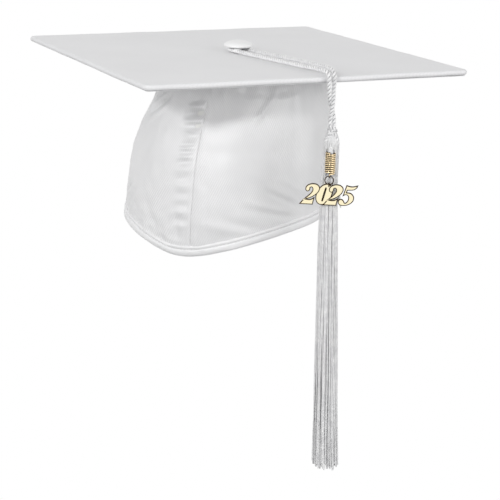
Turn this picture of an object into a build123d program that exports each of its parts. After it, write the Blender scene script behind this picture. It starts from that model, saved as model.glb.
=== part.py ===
from build123d import *

import os
from math import cos, pi, radians, sin, sqrt

# A graduation cap: a fabric-covered square board on a fitted skullcap, with a corded tassel that
# hangs from the button over one edge and carries a wire coil, a split ring and a year charm.
# Millimetres. The origin is the middle of the head opening, level with the rim at the ears.
# +Z is up, the wearer faces -Y and the wearer's left is +X, so the board lies as a diamond.

# ---- Clearances ------------------------------------------------------------------------------
running_gap = 0.3  # between pieces that move against each other
seat_gap = 0.1  # round a piece that is laid or sewn in its seat
rivet_gap = 0.15  # round the button's post, in every hole that it passes
cut_margin = 10.0  # how far a cutting shape reaches past what it cuts

# ---- Board -----------------------------------------------------------------------------------
board_side = 241.3
board_corner_radius = 7.0
core_thickness = 2.4
cover_thickness = 0.8
edge_roll_width = 2.6
edge_roll_radius = 1.9
board_turn = 45.0

# ---- Button ----------------------------------------------------------------------------------
button_radius = 10.5
button_dome_height = 5.2
button_edge_radius = 1.5
button_least_edge = 0.4  # the edge never gets tighter than this in the inner layers
button_roundness = 0.55  # shoulder of the dome, as a share of its height
button_cover_thickness = 0.7
button_shell_thickness = 0.6
button_tuck_width = 3.5
button_plate_thickness = 0.8
post_radius = 1.5
shank_radius = 3.6  # the thick part of the post, between the board and the button
post_head_radius = 2.6
post_head_thickness = 0.8
post_head_rounding = 0.3
washer_radius = 7.0
washer_thickness = 0.8

# ---- Skullcap --------------------------------------------------------------------------------
crown_depth = 112.0  # underside of the board to the rim at the ears
crown_top_radius = 46.0
crown_top_fall = 0.72  # slope of the cloth where it leaves the board
crown_shoulder_radius = 66.0
crown_shoulder_drop = 38.0
crown_hip_radius = 76.5
crown_hip_drop = 82.0
crown_rim_radius = 82.5
crown_rim_flare = 0.06  # slope of the cloth at the rim
crown_wall = 1.2
patch_thickness = 1.0
front_peak = 15.5  # how far the rim dips over the forehead
front_peak_start = 34.0  # where the dip begins, ahead of the ears
rear_split = 22.0  # the elastic casing takes over behind this line
hem_height = 6.0
hem_proud = 0.7
casing_height = 13.0
elastic_thickness = 0.9
elastic_margin = 2.0
sweatband_height = 28.0
sweatband_thickness = 0.8
seam_tape_width = 9.0
seam_tape_thickness = 0.5

# ---- Tassel cord -----------------------------------------------------------------------------
cord_diameter = 2.9
cord_spacing = 5.6  # between the two legs of the cord, where they cross the board's edge
hang_radius = 126.4  # from the button's axis to the hanging cord
tassel_turn = 4.8  # from the middle of the board's front left edge, towards its back end
edge_bend_radius = 6.0
edge_bend_tail = 0.5
drop_length = 28.0
leg_gap = 0.1  # between the two legs at the knot

# ---- Tassel ----------------------------------------------------------------------------------
knot_radius = 2.7
knot_drop = 4.0
knot_waist = 0.62  # radius under the knot, as a share of the knot's
knot_taper = 0.35  # slope of the waist where it meets the head
head_radius = 5.4
head_shoulder = 4.5
head_roundness = 0.6
head_length = 34.0
neck_tuck = 0.4  # how far the head draws in below the skirt's top radius
binding_radius = 5.9
binding_height = 6.0
binding_edge = 0.5
skirt_top_radius = 6.0
skirt_top_flare = 0.02  # slope of the yarns where they leave the neck
skirt_end_flare = 0.005  # and at their ends
skirt_bottom_radius = 8.6
skirt_length = 195.0

# ---- Coil, ring and charm --------------------------------------------------------------------
charm_facing = -76.0  # direction that the charm faces, about the hanging cord
coil_radius = 3.45
coil_wire = 1.05
coil_wire_faces = 8
coil_turns = 12
coil_gap = 0.13  # between neighbouring turns
coil_drop = 6.6  # from the top of the head to the top of the coil
coil_nesting = 2.6  # how deep the coil lies in the head's yarn
hook_radius = 1.15
hook_wire = 0.7
ring_radius = 2.85
ring_wire = 0.7
eye_radius = 1.25
eye_wire = 0.8
charm_width = 39.0
charm_height = 14.4
charm_thickness = 1.2
charm_slant = 24.0
numeral_pitch = 8.7  # from one numeral's middle to the next
numeral_width = 10.7
numeral_bar_width = 10.9  # the foot of the first numeral and the flag of the last
numeral_bar_height = 2.8
charm_eye_overlap = 0.7  # of the eye and the tab that carries it
charm_eye_sink = 2.2  # of the eye's foot below the tops of the numerals
charm_tab_width = 3.4  # the tab under the eye, between the second and third numerals
charm_slot_length = 8.0
charm_slot_width = 1.1
charm_corner_share = 3  # rounding of bars and tab: their width or height over this

# ---- Levels and places worked out from the sizes ---------------------------------------------
underside_z = crown_depth
core_z = underside_z + cover_thickness
board_thickness = core_thickness + 2 * cover_thickness
top_z = underside_z + board_thickness
rim_low_z = -front_peak
cord_radius = cord_diameter / 2
cord_z = top_z + running_gap + cord_radius
button_under_z = cord_z + cord_radius + running_gap
loop_radius = shank_radius + running_gap + cord_radius
swing_z = cord_z - edge_bend_radius - edge_bend_tail - cord_radius - running_gap
sway_z = swing_z - drop_length - knot_radius - running_gap
head_top_z = sway_z - knot_drop
neck_z = head_top_z - head_length
skirt_top_z = neck_z - binding_height
coil_pitch = coil_wire + coil_gap
coil_height = coil_turns * coil_pitch + coil_wire
coil_top_z = head_top_z - coil_drop
coil_bottom_z = coil_top_z - coil_height
coil_mean_radius = coil_radius - coil_wire / 2
coil_x = head_radius + coil_radius - coil_nesting
hook_x = coil_x + coil_mean_radius
hook_z = coil_bottom_z + coil_wire / 2 - hook_radius
hook_low_z = hook_z - hook_radius
ring_z = hook_low_z + (hook_wire + ring_wire) / 2 + running_gap - ring_radius
ring_low_z = ring_z - ring_radius
eye_z = ring_low_z + (eye_wire + ring_wire) / 2 + running_gap - eye_radius
charm_top_z = eye_z - eye_radius - eye_wire / 2 + charm_eye_sink
charm_z = charm_top_z - charm_height / 2
tassel_azimuth = board_turn - 90 + tassel_turn

board_place = Rot(0, 0, board_turn)
tassel_place = Rot(0, 0, tassel_azimuth)
hang_x = hang_radius * cos(radians(tassel_azimuth))
hang_y = hang_radius * sin(radians(tassel_azimuth))
charm_place = Pos(hang_x, hang_y, 0) * Rot(0, 0, charm_facing)


def ring_between(outer, inner, low, high):
    """A flat round ring, or a disc where the inner radius is 0, from one level to another."""
    ring = Circle(outer)
    if inner > 0:
        ring -= Circle(inner)
    return extrude(Pos(0, 0, low) * ring, high - low)


def dome_arcs(radius, base, height, shoulder):
    """Half a dome's outline: a wide arc over the top, then a tighter one down to its edge."""
    inner = radius - shoulder
    wide = (inner**2 + height**2 - shoulder**2) / (2 * (height - shoulder))
    reach = wide / (wide - shoulder)
    meet = (inner * reach, base + height - wide + (wide - height) * reach)
    over = RadiusArc((0, base + height), meet, wide)
    down = RadiusArc(meet, (radius, base), shoulder)
    return [over, down]


# ---- Board -----------------------------------------------------------------------------------
def board_slab(side, corner, low, high):
    """A square sheet with rounded corners, turned to lie as a diamond over the head."""
    return extrude(Pos(0, 0, low) * board_place * RectangleRounded(side, side, corner), high - low)


def board_layer(low, high):
    """One inner layer of the board, inside the rolled edge and pierced for the button's post."""
    side = board_side - 2 * edge_roll_width
    layer = board_slab(side, board_corner_radius - edge_roll_width, low, high)
    return layer - ring_between(post_radius + rivet_gap, 0, low, high)


def board_edge_roll():
    """The turned-over edge of the covers: a square frame with a full round outer face."""
    outer = board_slab(board_side, board_corner_radius, underside_z, top_z)
    long_edges = outer.edges().filter_by(Plane.XY)
    outer = fillet(long_edges, min(edge_roll_radius, 0.48 * board_thickness))
    side = board_side - 2 * edge_roll_width
    return outer - board_slab(side, board_corner_radius - edge_roll_width, underside_z, top_z)


# ---- Button ----------------------------------------------------------------------------------
def button_dome(inset):
    """The button's outer form drawn in by a thickness: a low dome with a rolled-under edge."""
    radius = button_radius - inset
    edge = max(button_edge_radius - inset, button_least_edge)
    low = button_under_z + inset
    shoulder = low + edge
    height = button_under_z + button_dome_height - inset - shoulder
    over = dome_arcs(radius, shoulder, height, button_roundness * height)
    heel = RadiusArc((radius, shoulder), (radius - edge, low), edge)
    base = Polyline((radius - edge, low), (0, low), (0, shoulder + height))
    return revolve(Plane.XZ * make_face(Curve() + over + [heel, base]), Axis.Z)


def button_cover():
    """Satin drawn over the shell and tucked under its edge."""
    tuck_radius = button_radius - button_tuck_width
    low = button_under_z
    cover = button_dome(0) - button_dome(button_cover_thickness)
    return cover - ring_between(tuck_radius, 0, low - cut_margin, low + button_cover_thickness)


def button_shell():
    """The pressed metal dome under the satin, open below for its back plate."""
    wall = button_cover_thickness + button_shell_thickness
    base = button_under_z + button_cover_thickness
    open_radius = button_radius - wall - seat_gap
    dome = button_dome(button_cover_thickness) - button_dome(wall)
    return dome - ring_between(open_radius, 0, base - cut_margin, base + button_shell_thickness)


def button_post():
    """The back plate pressed into the shell, with the post that is riveted through the board."""
    wall = button_cover_thickness + button_shell_thickness
    base = button_under_z + button_cover_thickness
    tuck_radius = button_radius - button_tuck_width
    edge = max(button_edge_radius - wall, button_least_edge)
    plate_radius = button_radius - wall - edge - 2 * seat_gap
    plate = ring_between(plate_radius, 0, base, base + button_plate_thickness)
    boss = ring_between(tuck_radius - seat_gap, 0, button_under_z, base)
    shank = ring_between(shank_radius, 0, top_z + seat_gap, button_under_z)
    head_z = underside_z - washer_thickness
    post = ring_between(post_radius, 0, head_z, button_under_z)
    head = ring_between(post_head_radius, 0, head_z - post_head_thickness, head_z)
    return plate + boss + shank + post + fillet(head.edges().group_by(Axis.Z)[0], post_head_rounding)


# ---- Skullcap --------------------------------------------------------------------------------
def crown_body(inset):
    """Everything inside the skullcap's outer face, drawn in by `inset`."""
    low = rim_low_z - cut_margin
    top = (crown_top_radius - inset, underside_z)
    shoulder = (crown_shoulder_radius - inset, underside_z - crown_shoulder_drop)
    hip = (crown_hip_radius - inset, underside_z - crown_hip_drop)
    rim = (crown_rim_radius - inset, low)
    meridian = Spline(top, shoulder, hip, rim,
                      tangents=[(1.0, -crown_top_fall), (crown_rim_flare, -1.0)])
    base = Polyline(rim, (0, low), (0, underside_z), top)
    return revolve(Plane.XZ * make_face(Curve() + [meridian, base]), Axis.Z)


def above_rim(rise):
    """All space more than `rise` above the rim line, which dips in a curve over the forehead."""
    reach = crown_rim_radius + hem_proud + cut_margin
    start = (-front_peak_start, rise)
    span = crown_rim_radius - front_peak_start
    bend = (span**2 + front_peak**2) / (2 * front_peak)
    past = reach - front_peak_start
    level = Line((reach, rise), start)
    dip_end = (-reach, rise - bend + sqrt(bend**2 - past**2))
    dip = TangentArc(start, dip_end, tangent=(-1, 0))
    ceiling = Polyline(dip_end, (-reach, top_z), (reach, top_z), (reach, rise))
    return extrude(Plane.YZ * make_face(Curve() + [level, dip, ceiling]), reach, both=True)


def half_space(axis, side, start=0.0):
    """A block that holds one side of the cap: side is +1 or -1 along X or Y, from `start` on."""
    size = 2 * (crown_rim_radius + 2 * cut_margin)
    middle = side * (start + size / 2)
    place = Pos(middle, 0, 0) if axis == "x" else Pos(0, middle, 0)
    return place * Box(size, size, 4 * crown_depth)


front_side = half_space("y", -1, -rear_split)
rear_side = half_space("y", 1, rear_split)


def crown_skin(outer_inset, inner_inset, low, high=None):
    """A layer of the skullcap between two insets, from one height above the rim to another."""
    skin = (crown_body(outer_inset) - crown_body(inner_inset)) & above_rim(low)
    if high is not None:
        skin -= above_rim(high)
    return skin


def crown_panel(side):
    """One of the two satin side panels, sewn to its twin along the centre front and back."""
    panel = crown_skin(0, crown_wall, hem_height) & half_space("x", side)
    return panel - (rear_side - above_rim(casing_height))


def rim_hem():
    """The rolled bias edge from ear to ear round the front."""
    return crown_skin(-hem_proud, crown_wall + hem_proud, 0, hem_height) & front_side


def rear_elastic():
    """The flat elastic that draws the back of the rim in."""
    middle = crown_wall / 2
    half = elastic_thickness / 2
    high = casing_height - elastic_margin
    return crown_skin(middle - half, middle + half, elastic_margin, high) & rear_side


def rear_casing():
    """The gathered tunnel round the back of the rim that holds the elastic."""
    tunnel = crown_skin(-hem_proud, crown_wall + hem_proud, 0, casing_height) & rear_side
    return tunnel - rear_elastic()


def sweatband():
    """The inner band behind the front hem, which rests on the forehead."""
    inner = crown_wall + sweatband_thickness
    return crown_skin(crown_wall, inner, hem_height, hem_height + sweatband_height) & front_side


def seam_tape(side):
    """The tape that binds a centre seam inside: side -1 is the front seam, +1 the back one."""
    low = casing_height if side > 0 else hem_height + sweatband_height
    tape = crown_skin(crown_wall, crown_wall + seam_tape_thickness, low)
    high = underside_z - patch_thickness - seat_gap
    strip = Box(seam_tape_width, 2 * crown_rim_radius, 2 * high)
    return tape & (Pos(0, side * crown_rim_radius, 0) * strip)


def crown_patch():
    """The round of cloth that sews the skullcap to the board, open in the middle for the washer."""
    reach = crown_rim_radius
    slab = Pos(0, 0, underside_z - patch_thickness / 2) * Box(2 * reach, 2 * reach, patch_thickness)
    patch = crown_body(crown_wall + seat_gap) & slab
    return patch - ring_between(washer_radius + seat_gap, 0, underside_z - cut_margin, underside_z)


# ---- Tassel cord -----------------------------------------------------------------------------
def tassel_loop():
    """The end of the cord's loop, lying half round the button's post."""
    turn = Pos(0, 0, cord_z) * Torus(loop_radius, cord_radius)
    size = 2 * (loop_radius + cut_margin)
    return turn & (Pos(-size / 2, 0, cord_z) * Box(size, size, size))


def top_cord(side):
    """One leg of the cord: straight across the board and bent down over its edge."""
    edge_y = side * cord_spacing / 2
    low = cord_z - edge_bend_radius - edge_bend_tail
    start = (0, side * loop_radius, cord_z)
    route = FilletPolyline(
        start,
        (hang_radius, edge_y, cord_z),
        (hang_radius, edge_y, low),
        radius=edge_bend_radius,
    )
    section = Plane(origin=start, z_dir=route % 0) * Circle(cord_radius)
    tube = sweep(section, path=route)
    print("top cord bend", edge_bend_radius, "length", round(route.length, 1),
          "volume share", round(tube.volume / (route.length * pi * cord_radius**2), 4))
    return tube


def drop_cord(side):
    """The hanging stretch of one leg: its round top turns in the bend of the leg above."""
    top = Vector(hang_radius, side * cord_spacing / 2, swing_z)
    foot = Vector(hang_radius, side * (cord_radius + leg_gap / 2), swing_z - drop_length)
    run = foot - top
    rod = extrude(Plane(origin=top, z_dir=run) * Circle(cord_radius), run.length)
    return rod + Pos(*top) * Sphere(cord_radius)


# ---- Tassel ----------------------------------------------------------------------------------
def tassel_knot():
    """The knot that joins the two legs: a ball, drawn in to a waist above the head."""
    waist = knot_waist * knot_radius
    ball = RadiusArc((0, sway_z + knot_radius), (knot_radius, sway_z), knot_radius)
    flank = Spline(
        (knot_radius, sway_z),
        (waist, head_top_z),
        tangents=[(0, -1), (-knot_taper, -1)],
    )
    axis_line = Polyline((waist, head_top_z), (0, head_top_z), (0, sway_z + knot_radius))
    knot = revolve(Plane.XZ * make_face(Curve() + [ball, flank, axis_line]), Axis.Z)
    return Pos(hang_radius, 0, 0) * knot


def coil_seat():
    """The groove that the coil presses into the front of the head, in the charm's frame."""
    low = coil_bottom_z - seat_gap
    height = coil_height + 2 * seat_gap
    return Pos(coil_x, 0, low + height / 2) * Cylinder(coil_radius + seat_gap, height)


def tassel_head():
    """The folded-over yarn above the neck, rounded at the top, with the coil's seat in front."""
    shoulder_z = head_top_z - head_shoulder
    dome = dome_arcs(head_radius, shoulder_z, head_shoulder, head_roundness * head_shoulder)
    sides = Polyline(
        (head_radius, shoulder_z),
        (skirt_top_radius - neck_tuck, neck_z),
        (0, neck_z),
        (0, head_top_z),
    )
    head = revolve(Plane.XZ * make_face(Curve() + dome + [sides]), Axis.Z)
    return Pos(hang_x, hang_y, 0) * head - charm_place * coil_seat()


def neck_binding():
    """The band of thread wound round the neck, with eased edges."""
    band = ring_between(binding_radius, 0, skirt_top_z, neck_z)
    band = chamfer(band.edges().filter_by(GeomType.CIRCLE), binding_edge)
    return Pos(hang_x, hang_y, 0) * band


def tassel_skirt():
    """The loose yarns below the neck, spreading towards their trimmed ends."""
    low = skirt_top_z - skirt_length
    flare = Spline(
        (skirt_top_radius, skirt_top_z),
        (skirt_bottom_radius, low),
        tangents=[(skirt_top_flare, -1), (skirt_end_flare, -1)],
    )
    ends = Polyline((skirt_bottom_radius, low), (0, low), (0, skirt_top_z),
                    (skirt_top_radius, skirt_top_z))
    skirt = revolve(Plane.XZ * make_face(Curve() + [flare, ends]), Axis.Z)
    return Pos(hang_x, hang_y, 0) * skirt


# ---- Coil, ring and charm, built facing +X on the hanging axis -------------------------------
def yarn_lock():
    """The lock of yarn that the coil is wound on, standing in the head's groove."""
    low = hook_z + hook_radius + hook_wire / 2 + seat_gap
    height = coil_top_z - low
    radius = coil_radius - coil_wire - seat_gap
    return Pos(coil_x, 0, low + height / 2) * Cylinder(radius, height)


def charm_coil():
    """A close-wound wire coil whose last turn carries a closed hook."""
    path = Helix(coil_pitch, coil_turns * coil_pitch, coil_mean_radius)
    start = Plane(origin=path @ 0, z_dir=path % 0)
    wire = RegularPolygon(coil_wire / 2, coil_wire_faces)
    winding = sweep(start * wire, path=path, is_frenet=True)
    winding = Pos(coil_x, 0, coil_bottom_z + coil_wire / 2) * winding
    hook = Pos(hook_x, 0, hook_z) * Rot(90, 0, 0) * Torus(hook_radius, hook_wire / 2)
    return winding + hook


def jump_ring():
    """The round wire ring between the coil's hook and the charm's eye."""
    return Pos(hook_x, 0, ring_z) * Rot(0, 90, 0) * Torus(ring_radius, ring_wire / 2)


def year_charm():
    """A flat cast plate in the outline of four slanted, overlapping numerals, with its eye."""
    lobe = Rot(0, 0, -charm_slant / 2) * Ellipse(numeral_width / 2, charm_height / 2)
    outline = Sketch()
    for place in (-1.5, -0.5, 0.5, 1.5):
        outline += Pos(place * numeral_pitch, 0) * lobe
    bar = RectangleRounded(numeral_bar_width, numeral_bar_height,
                           numeral_bar_height / charm_corner_share)
    bar_x = (charm_width - numeral_bar_width) / 2
    bar_y = (charm_height - numeral_bar_height) / 2
    for end in (-1, 1):
        outline += Pos(end * bar_x, end * bar_y) * bar
    tab_height = charm_height / 2 - charm_eye_sink + charm_eye_overlap
    tab = RectangleRounded(charm_tab_width, tab_height, charm_tab_width / charm_corner_share)
    outline += Pos(0, tab_height / 2) * tab
    slot = SlotOverall(charm_slot_length, charm_slot_width)
    outline -= Pos(-numeral_pitch / 2, 0) * Rot(0, 0, 90 - charm_slant) * slot
    plate = extrude(Plane.YZ * outline, charm_thickness / 2, both=True)
    eye = Rot(90, 0, 0) * Torus(eye_radius, eye_wire / 2)
    return Pos(hook_x, 0, charm_z) * plate + Pos(hook_x, 0, eye_z) * eye


nodes = {
    "board_core": board_layer(core_z, core_z + core_thickness),
    "board_top_cover": board_layer(core_z + core_thickness, top_z),
    "board_under_cover": board_layer(underside_z, core_z),
    "board_edge_roll": board_edge_roll(),
    "button_cover": button_cover(),
    "button_shell": button_shell(),
    "button_post": button_post(),
    "button_washer": ring_between(
        washer_radius, post_radius + rivet_gap, underside_z - washer_thickness, underside_z),
    "crown_patch": crown_patch(),
    "crown_left_panel": crown_panel(1),
    "crown_right_panel": crown_panel(-1),
    "front_seam_tape": seam_tape(-1),
    "back_seam_tape": seam_tape(1),
    "sweatband": sweatband(),
    "rim_hem": rim_hem(),
    "rear_elastic": rear_elastic(),
    "rear_casing": rear_casing(),
    "tassel_loop": tassel_place * tassel_loop(),
    "top_cord_left": tassel_place * top_cord(1),
    "top_cord_right": tassel_place * top_cord(-1),
    "drop_cord_left": tassel_place * drop_cord(1),
    "drop_cord_right": tassel_place * drop_cord(-1),
    "tassel_knot": tassel_place * tassel_knot(),
    "tassel_head": tassel_head(),
    "neck_binding": neck_binding(),
    "tassel_skirt": tassel_skirt(),
    "yarn_lock": charm_place * yarn_lock(),
    "charm_coil": charm_place * charm_coil(),
    "jump_ring": charm_place * jump_ring(),
    "year_charm": charm_place * year_charm(),
}

os.makedirs("parts", exist_ok=True)
for name, shape in nodes.items():
    export_step(shape, f"parts/{name}.step")

print("swing pivot", round(hang_x, 3), round(hang_y, 3), round(swing_z, 3))
print("sway pivot", round(sway_z, 3), "ring pivot", round(hook_low_z, 3), "eye", round(ring_low_z, 3))
print("hook plane", [round(v, 3) for v in (charm_place * Vertex(hook_x, 0, 0)).center()])
print("skirt end", round(skirt_top_z - skirt_length, 2), "charm", charm_top_z, charm_z)
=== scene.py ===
import math
import random

import bmesh
import bpy
from mathutils import Matrix, Vector, kdtree, noise


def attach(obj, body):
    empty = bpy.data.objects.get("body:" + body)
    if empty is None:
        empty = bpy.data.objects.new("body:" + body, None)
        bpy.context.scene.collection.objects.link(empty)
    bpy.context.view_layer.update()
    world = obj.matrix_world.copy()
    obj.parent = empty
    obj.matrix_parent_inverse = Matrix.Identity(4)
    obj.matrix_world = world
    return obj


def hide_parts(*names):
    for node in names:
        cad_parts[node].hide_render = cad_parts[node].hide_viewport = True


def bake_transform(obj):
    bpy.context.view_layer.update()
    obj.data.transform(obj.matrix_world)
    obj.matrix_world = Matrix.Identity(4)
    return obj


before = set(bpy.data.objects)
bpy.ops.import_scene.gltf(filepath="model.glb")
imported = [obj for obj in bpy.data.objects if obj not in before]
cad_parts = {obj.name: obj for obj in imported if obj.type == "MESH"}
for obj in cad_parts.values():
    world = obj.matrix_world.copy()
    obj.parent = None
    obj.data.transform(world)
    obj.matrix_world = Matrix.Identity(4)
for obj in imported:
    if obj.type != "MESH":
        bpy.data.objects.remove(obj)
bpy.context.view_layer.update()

mm = 0.001


# ---- Board ---------------------------------------------------------------------------------
# The mortarboard: a square of stiff card wrapped in white satin. The cloth is drawn over the
# edge, which leaves it softly rounded, mitred at the corners and glued down underneath, where a
# second square of satin hides the card.
board_half = 120.65 * mm
board_corner = 5.2 * mm
board_top = 116.0 * mm
board_under = 112.0 * mm
board_roll = 1.85 * mm
board_skin = 0.3 * mm  # the cloth starts this far inside the board's own height
back_warp = 0.8 * mm  # how far the back corner has lifted
side_warp = 0.3 * mm  # and the corner on the tassel's side
board_place = Matrix.Rotation(math.radians(45), 4, "Z")
satin_white = (0.86, 0.86, 0.87)
satin_shade = (0.80, 0.80, 0.81)


def node(tree, kind, wires=None, **settings):
    """A shader node with its settings, its sockets set to values or wired to other sockets."""
    made = tree.nodes.new(kind)
    for name, value in settings.items():
        setattr(made, name, value)
    for name, value in (wires or {}).items():
        if isinstance(value, bpy.types.NodeSocket):
            tree.links.new(value, made.inputs[name])
        else:
            made.inputs[name].default_value = value
    return made


def new_group(name, inputs, outputs):
    """An empty shader node group with its sockets, and its two end nodes."""
    group = bpy.data.node_groups.new(name, "ShaderNodeTree")
    for label, kind in inputs:
        group.interface.new_socket(label, in_out="INPUT", socket_type=kind)
    for label, kind in outputs:
        group.interface.new_socket(label, in_out="OUTPUT", socket_type=kind)
    return group, group.nodes.new("NodeGroupInput"), group.nodes.new("NodeGroupOutput")


def finish(name, roughness, **sockets):
    """A new material with its shader: returns the material, its node tree and the shader."""
    material = bpy.data.materials.new(name)
    material.use_nodes = True
    tree = material.node_tree
    tree.nodes.clear()
    shader = node(tree, "ShaderNodeBsdfPrincipled", {"Roughness": roughness})
    for label, value in sockets.items():
        shader.inputs[label.replace("_", " ")].default_value = value
    node(tree, "ShaderNodeOutputMaterial", {"Surface": shader.outputs["BSDF"]})
    return material, tree, shader


def piece(name, bm, material, smooth=True):
    """A bmesh made into a named object at the origin."""
    mesh = bpy.data.meshes.new(name)
    bm.to_mesh(mesh)
    bm.free()
    mesh.polygons.foreach_set("use_smooth", [smooth] * len(mesh.polygons))
    made = bpy.data.objects.new(name, mesh)
    bpy.context.scene.collection.objects.link(made)
    mesh.materials.append(material)
    return made


def modify(made, kind, **settings):
    """A modifier on a piece, with its settings."""
    modifier = made.modifiers.new(kind.lower(), kind)
    for name, value in settings.items():
        setattr(modifier, name, value)
    return modifier


def maths(tree, operation, *values):
    """What a maths node gives for these values or wires."""
    made = node(tree, "ShaderNodeMath", dict(enumerate(values)), operation=operation)
    return made.outputs["Value"]


def vectors(tree, operation, *values, gives="Vector"):
    """What a vector maths node gives for these values or wires."""
    made = node(tree, "ShaderNodeVectorMath", dict(enumerate(values)), operation=operation)
    return made.outputs[gives]


def ranged(tree, value, low, high, to_low=0.0, to_high=1.0):
    """A value stretched from one range to another and held inside it."""
    return node(tree, "ShaderNodeMapRange", {
        "Value": value, "From Min": low, "From Max": high, "To Min": to_low,
        "To Max": to_high}).outputs["Result"]


def grain(tree, place, scale, detail=2.0, **settings):
    """Fine noise at a place on the surface."""
    return node(tree, "ShaderNodeTexNoise", {
        "Vector": place, "Scale": scale, "Detail": detail, **settings}).outputs["Fac"]


def blended(tree, factor, first, second):
    """A colour between two others, each a wire or a colour."""
    ends = [end if isinstance(end, bpy.types.NodeSocket) else (*end, 1) for end in (first, second)]
    return node(tree, "ShaderNodeMix", {"Factor": factor, "A": ends[0], "B": ends[1]},
                data_type="RGBA").outputs["Result"]


def paint(tree, shader, colour, height=None, strength=0.5, distance=0.0002):
    """Gives a shader its colour and, with a height, its fine relief."""
    tree.links.new(colour, shader.inputs["Base Color"])
    if height:
        fine = node(tree, "ShaderNodeBump", {
            "Height": height, "Strength": strength, "Distance": distance})
        tree.links.new(fine.outputs["Normal"], shader.inputs["Normal"])


# The weave group: fine slanting ribs of satin twill over slow, cloudy changes of tone.
weave, weave_in, weave_out = new_group(
    "satin_twill",
    [("Vector", "NodeSocketVector"), ("Ribs", "NodeSocketFloat"), ("Slope", "NodeSocketFloat")],
    [("Height", "NodeSocketFloat"), ("Tone", "NodeSocketFloat")],
)
turned = node(weave, "ShaderNodeVectorRotate", {
    "Vector": weave_in.outputs["Vector"], "Angle": weave_in.outputs["Slope"]},
    rotation_type="Z_AXIS")
ribs = node(weave, "ShaderNodeTexWave", {
    "Vector": turned.outputs["Vector"], "Scale": weave_in.outputs["Ribs"],
    "Distortion": 0.4, "Detail": 1.0})
strength = ranged(weave, grain(weave, weave_in.outputs["Vector"], 26.0), 0.35, 0.65, 0.25)
ribbed = maths(weave, "MULTIPLY", ribs.outputs["Fac"], strength)
cloud = grain(weave, weave_in.outputs["Vector"], 9.0, 3.0)
tone = maths(weave, "MULTIPLY_ADD", ribbed, 0.6, cloud)
weave.links.new(ribbed, weave_out.inputs["Height"])
weave.links.new(tone, weave_out.inputs["Tone"])


def satin(name, light, shade, roughness, coordinates, ribs=240.0, slope=0.6, bump=0.25,
          gloss=0.35, coat=0.0):
    """Woven satin: fine slanting ribs, a soft sheen and slow changes of tone."""
    material, tree, shader = finish(
        name, roughness, Sheen_Weight=0.25, Sheen_Roughness=0.4, Specular_IOR_Level=gloss,
        Coat_Weight=coat, Coat_Roughness=0.45)
    woven = node(tree, "ShaderNodeGroup", node_tree=weave)
    place = node(tree, "ShaderNodeTexCoord")
    tree.links.new(place.outputs[coordinates], woven.inputs["Vector"])
    woven.inputs["Ribs"].default_value = ribs
    woven.inputs["Slope"].default_value = slope
    paint(tree, shader, blended(tree, woven.outputs["Tone"], shade, light),
          woven.outputs["Height"], bump)
    return material


board_satin = satin("board_satin", satin_white, satin_shade, 0.6, "Object", slope=0.3, bump=0.15,
                    gloss=0.2)


def rounded_square(x, y, half, corner):
    """A point of a square moved onto the same square with round corners."""
    over_x = (abs(x) - half + corner) / corner
    over_y = (abs(y) - half + corner) / corner
    if over_x > 0 and over_y > 0:
        pull = max(over_x, over_y) / math.hypot(over_x, over_y)
        x = math.copysign(half - corner + over_x * pull * corner, x)
        y = math.copysign(half - corner + over_y * pull * corner, y)
    return x, y


bm = bmesh.new()
bmesh.ops.create_grid(bm, x_segments=120, y_segments=120, size=board_half)
for v in bm.verts:
    x, y = rounded_square(v.co.x, v.co.y, board_half, board_corner)
    soft = noise.noise(Vector((x, y, 0)) * 18) * 0.22 * mm
    edge = max(abs(x), abs(y)) / board_half
    rim = noise.noise(Vector((x, y, 0.5)) * 40) * 0.3 * mm * edge ** 8
    warp = back_warp * max(0.0, (x + y) / (2 * board_half)) + side_warp * max(
        0.0, (x - y) / (2 * board_half))
    v.co = (x, y, board_top - board_skin + soft + rim + warp)
board_cloth = piece("board_cloth", bm, board_satin)
board_cloth.data.transform(board_place)
modify(board_cloth, "SOLIDIFY", thickness=board_top - board_under - 0.2 * mm, offset=-1)
modify(board_cloth, "BEVEL", width=board_roll, segments=4, limit_method="ANGLE",
       angle_limit=math.radians(60))
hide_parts("board_top_cover", "board_edge_roll", "board_under_cover")
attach(board_cloth, "root")

# Underneath, the margin of the cloth is folded in and glued, with a mitre at each corner.
hem_margin = 17.0 * mm
hem_inset = 2.2 * mm  # of its fold from the board's edge
mitre_gap = 0.35 * mm
bm = bmesh.new()
bmesh.ops.create_grid(bm, x_segments=1, y_segments=1, size=board_half - hem_inset)
inner = bmesh.ops.inset_region(bm, faces=bm.faces[:], thickness=hem_margin, use_boundary=True,
                               use_even_offset=True)
bmesh.ops.delete(bm, geom=[f for f in bm.faces if f not in inner["faces"]], context="FACES")
mitres = [e for e in bm.edges if len(e.link_faces) == 2]
bmesh.ops.split_edges(bm, edges=mitres)
for face in bm.faces[:]:
    middle = face.calc_center_median()
    for v in face.verts:
        v.co += (middle - v.co).normalized() * mitre_gap
bmesh.ops.subdivide_edges(bm, edges=bm.edges[:], cuts=5, use_grid_fill=True)
for v in bm.verts:
    v.co.z = board_under - 0.25 * mm + noise.noise(v.co * 60) * 0.1 * mm
bmesh.ops.recalc_face_normals(bm, faces=bm.faces[:])
board_turned_hem = piece("board_turned_hem", bm, board_satin)
board_turned_hem.data.transform(board_place)
modify(board_turned_hem, "SOLIDIFY", thickness=0.45 * mm, offset=0)
modify(board_turned_hem, "BEVEL", width=0.15 * mm, segments=2, limit_method="ANGLE")
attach(board_turned_hem, "root")

def two_toned(tree, mask, dark, light):
    """A ramp from a dark tone to a light one."""
    ramp = node(tree, "ShaderNodeValToRGB", {"Fac": mask})
    ramp.color_ramp.elements[0].color = (*dark, 1)
    ramp.color_ramp.elements[1].color = (*light, 1)
    return ramp.outputs["Color"]


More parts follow.
